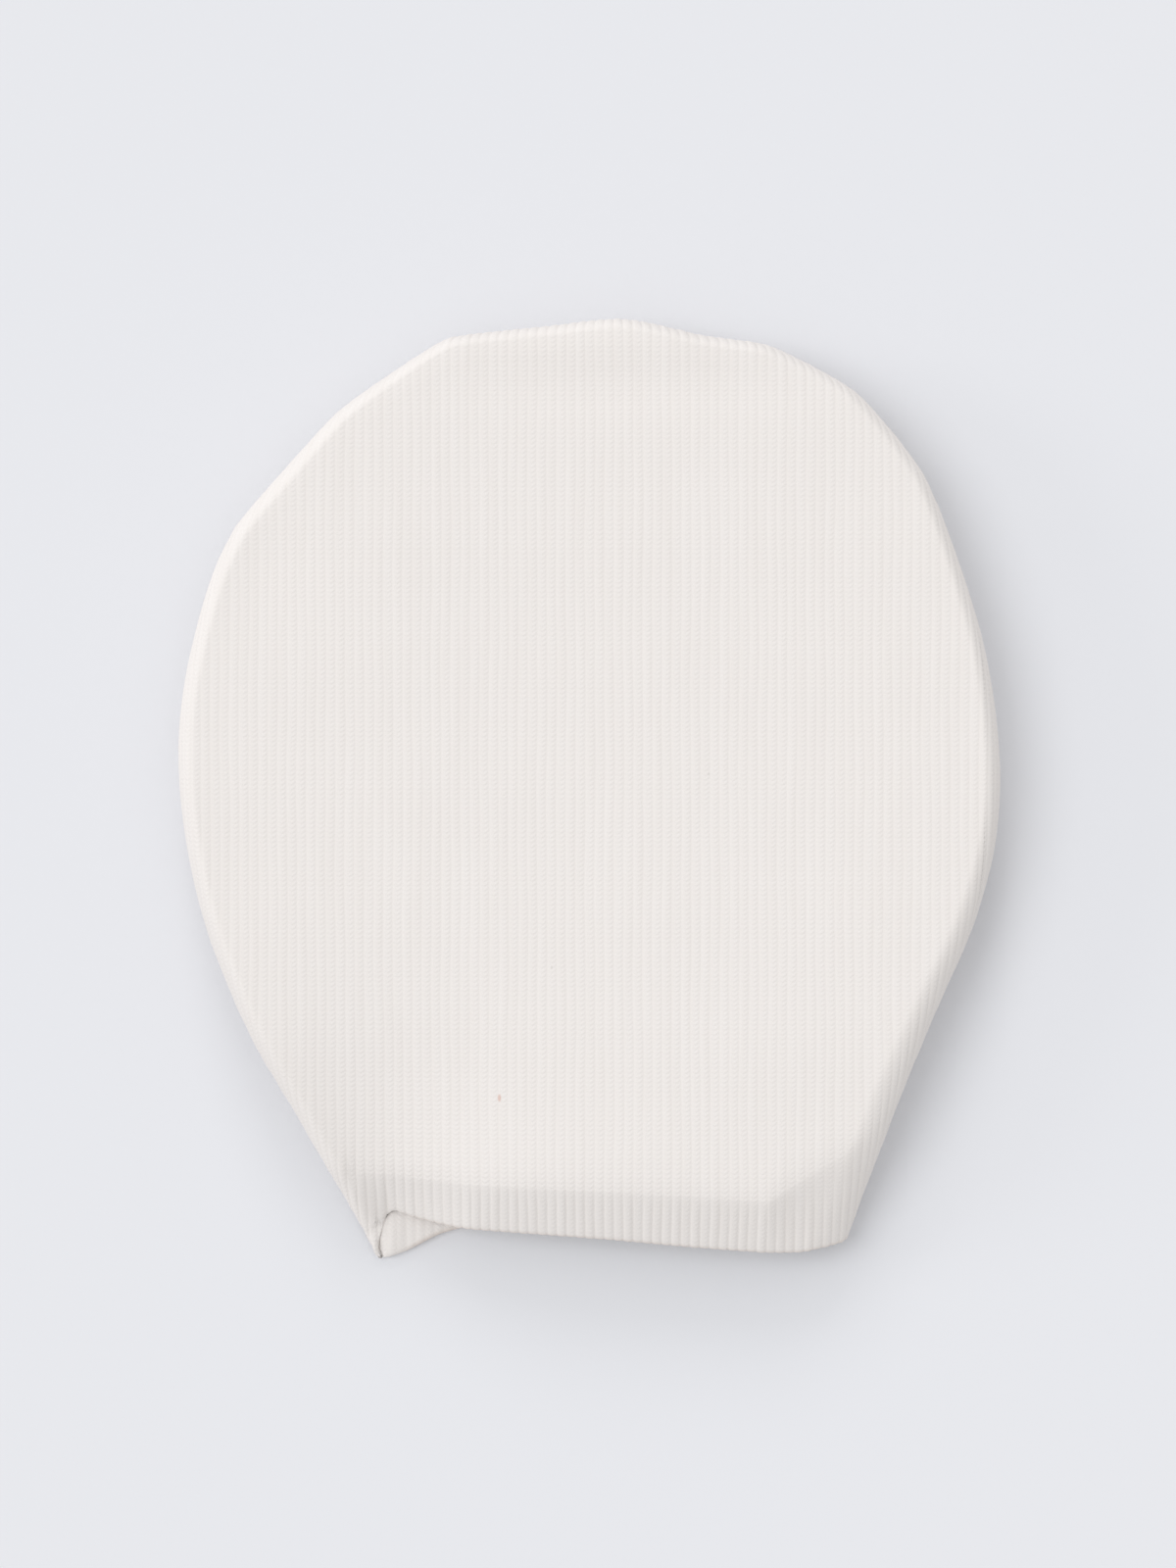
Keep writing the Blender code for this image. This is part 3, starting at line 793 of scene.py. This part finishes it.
# The stage: the floor's half width and how far it lies below the cap, in metres
FLOOR_REACH = 3.0
FLOOR_DROP = 0.00005

# The photograph's frame: what a pixel covers at the height of the widest line, and its centre there
PIXEL = 0.26 * MM
IMAGE_HEIGHT = 1600
VIEW_CENTRE = (-0.5 * MM, 1.3 * MM, TOP_HEIGHT / 2 * MM)
LENS = 85.0
SENSOR = 36.0

# The lights: name, compass angle they come from, elevation, how wide they look in degrees, strength, colour
LIGHTS = (
    ("key_left", 166.0, 56.0, 34.0, 0.25, (0.99, 1.0, 1.02)),
    ("low_left", 172.0, 19.0, 16.0, 0.1, (1.0, 1.0, 1.0)),
    ("low_top", 95.0, 26.0, 18.0, 0.19, (1.0, 1.0, 1.0)),
)
SKY = (1.0, 1.0, 1.0, 1.0)
SKY_STRENGTH = 0.718


def make_floor():
    corners = [(-1, -1), (1, -1), (1, 1), (-1, 1)]
    mesh = bpy.data.meshes.new("floor")
    points = [(x * FLOOR_REACH, y * FLOOR_REACH, -FLOOR_DROP) for x, y in corners]
    mesh.from_pydata(points, [], [(0, 1, 2, 3)])
    mesh.materials.append(floor_material())
    floor = bpy.data.objects.new("floor", mesh)
    bpy.context.scene.collection.objects.link(floor)


def make_lights():
    for name, compass, elevation, width, strength, colour in LIGHTS:
        light = bpy.data.lights.new(name, "SUN")
        light.energy = strength * math.pi
        light.angle = math.radians(width)
        light.color = colour
        lamp = bpy.data.objects.new(name, light)
        turn, rise = math.radians(compass), math.radians(elevation)
        towards = Vector((math.cos(turn) * math.cos(rise), math.sin(turn) * math.cos(rise), math.sin(rise)))
        lamp.rotation_euler = towards.to_track_quat("Z", "Y").to_euler()
        lamp.location = towards
        bpy.context.scene.collection.objects.link(lamp)
    world = bpy.data.worlds.new("sky")
    world.use_nodes = True
    bpy.context.scene.world = world
    background = world.node_tree.nodes["Background"]
    background.inputs["Color"].default_value = SKY
    background.inputs["Strength"].default_value = SKY_STRENGTH


def make_camera():
    data = bpy.data.cameras.new("camera")
    data.lens = LENS
    data.sensor_width = SENSOR
    camera = bpy.data.objects.new("camera", data)
    distance = PIXEL * IMAGE_HEIGHT * LENS / SENSOR
    camera.location = Vector(VIEW_CENTRE) + Vector((0, 0, distance))
    bpy.context.scene.collection.objects.link(camera)
    bpy.context.scene.camera = camera


bpy.context.scene.view_settings.view_transform = "Standard"
make_floor()
make_lights()
make_camera()

cap = cap_outline()
knit = knit_material()
under_knit, under_cut = make_under_knit(cap, knit)
upper_knit, upper_cut = make_upper_knit(cap, knit)
seam_stitches = make_seam_stitches(upper_cut, under_cut, thread_material())
for piece in (under_knit, upper_knit, seam_stitches):
    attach(piece, "root")
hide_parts("under_panel")
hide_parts("upper_panel")
